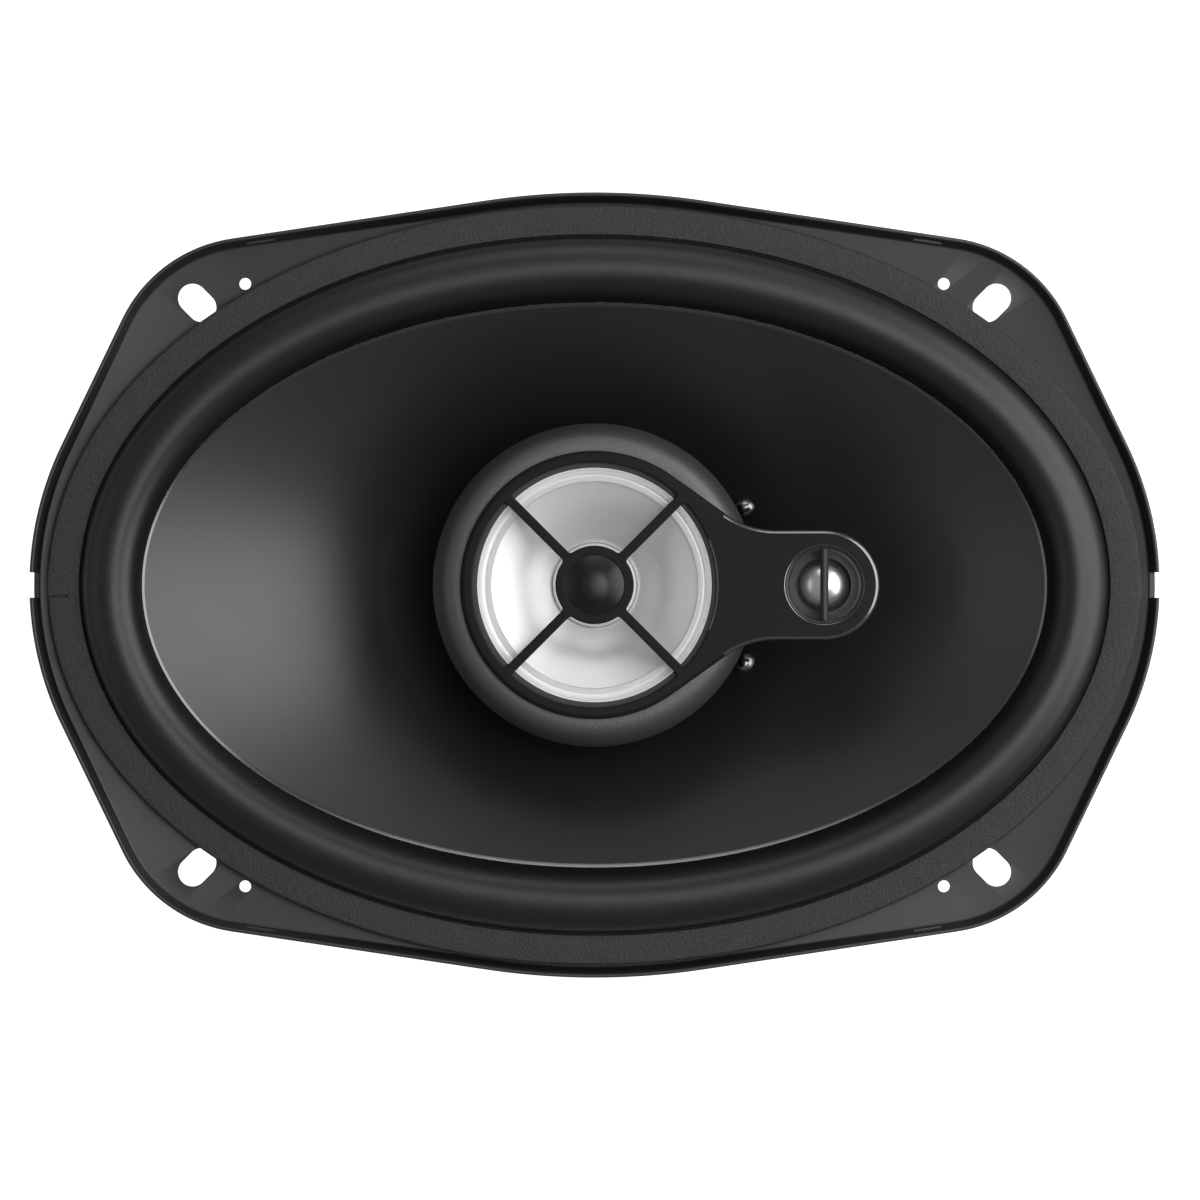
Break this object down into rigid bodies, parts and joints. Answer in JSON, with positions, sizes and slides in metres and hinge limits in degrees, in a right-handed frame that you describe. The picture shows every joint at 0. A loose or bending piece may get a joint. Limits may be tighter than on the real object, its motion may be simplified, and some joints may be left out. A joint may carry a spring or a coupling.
{
  "type": "coaxial car speaker",
  "caption": "Oval coaxial car speaker: woofer in a stamped steel basket, midrange pod on a central post and tweeter on an arm.",
  "frame": {"origin": "centre of the flange's back face, the face that lies on the panel, on the cone's axis", "axes": "+Z out of the speaker's front along the cone's axis, +X along the flange's long side towards the tweeter, +Y along its short side"},
  "size_m": [0.2368, 0.1648, 0.091],
  "materials": {
    "basket_paint": "satin black stamped steel",
    "gasket_foam": "fine grained foam",
    "edge_rubber": "matte moulded rubber",
    "spider_cloth": "resin treated cloth",
    "plated_steel": "zinc plated, turned",
    "ferrite": "ground ferrite",
    "rivet_steel": "plated",
    "strip_board": "phenolic board",
    "tab_brass": "stamped brass",
    "lead_copper": "braided tinsel",
    "wire_red": "insulated wire",
    "post_plastic": "moulded",
    "pod_plastic": "fine textured satin",
    "arm_plastic": "satin",
    "plate_plastic": "matte black with a crisp edge",
    "mid_steel": "plated pressing",
    "small_magnet": "nickel plated",
    "silver_film": "silver metallised",
    "capacitor_sleeve": "sleeved can",
    "funnel_plastic": "satin",
    "dome_edge": "treated cloth",
    "cone_poly": "glossy polypropylene",
    "former_paper": "heat resistant film",
    "coil_copper": "enamelled copper",
    "joint_glue": "glossy black glue",
    "cap_dark": "soft dark cap",
    "dome_metal": "mirror polished"
  },
  "bodies": {
    "frame": {"basket": "basket_paint", "gasket": "gasket_foam", "surround": "edge_rubber", "spider": "spider_cloth", "top_plate": "plated_steel", "magnet": "ferrite", "back_plate": "plated_steel", "stake_rivets": "rivet_steel", "terminal_strip": "strip_board", "terminal_positive": "tab_brass", "terminal_negative": "tab_brass", "terminal_rivets": "rivet_steel", "lead_positive": "lead_copper", "lead_negative": "lead_copper", "centre_post": "post_plastic", "post_nut": "rivet_steel", "pod_wires": "wire_red", "pod_housing": "pod_plastic", "tweeter_arm": "arm_plastic", "front_plate": "plate_plastic", "mid_frame": "mid_steel", "mid_pot": "mid_steel", "mid_magnet": "small_magnet", "mid_pole_plate": "mid_steel", "mid_surround": "silver_film", "mid_capacitor": "capacitor_sleeve", "tweeter_capacitor": "capacitor_sleeve", "tweeter_faceplate": "funnel_plastic", "tweeter_pot": "mid_steel", "tweeter_magnet": "small_magnet", "tweeter_pole_plate": "mid_steel", "tweeter_surround": "dome_edge"},
    "woofer_cone": {"cone": "cone_poly", "former": "former_paper", "voice_coil": "coil_copper", "lead_joints": "joint_glue", "coil_leads": "lead_copper"},
    "midrange_cone": {"mid_cone": "silver_film", "mid_collar": "silver_film", "mid_dust_cap": "cap_dark", "mid_former": "former_paper", "mid_coil": "coil_copper"},
    "tweeter_diaphragm": {"tweeter_dome": "dome_metal", "tweeter_coil": "coil_copper"}
  },
  "joints": [
    {"name": "cone_stroke", "type": "slide", "parent": "frame", "child": "woofer_cone", "axis": [0, 0, 1], "range_m": [-0.005, 0.005], "stiffness_N_per_m": 3500, "deforming": ["surround", "spider", "lead_positive", "lead_negative"]},
    {"name": "mid_stroke", "type": "slide", "parent": "frame", "child": "midrange_cone", "axis": [0, 0, 1], "range_m": [-0.0008, 0.0008], "stiffness_N_per_m": 1000, "deforming": ["mid_surround"]},
    {"name": "tweeter_stroke", "type": "slide", "parent": "frame", "child": "tweeter_diaphragm", "axis": [0, 0, 1], "range_m": [-0.0003, 0.0003], "stiffness_N_per_m": 400, "deforming": ["tweeter_surround"]}
  ]
}
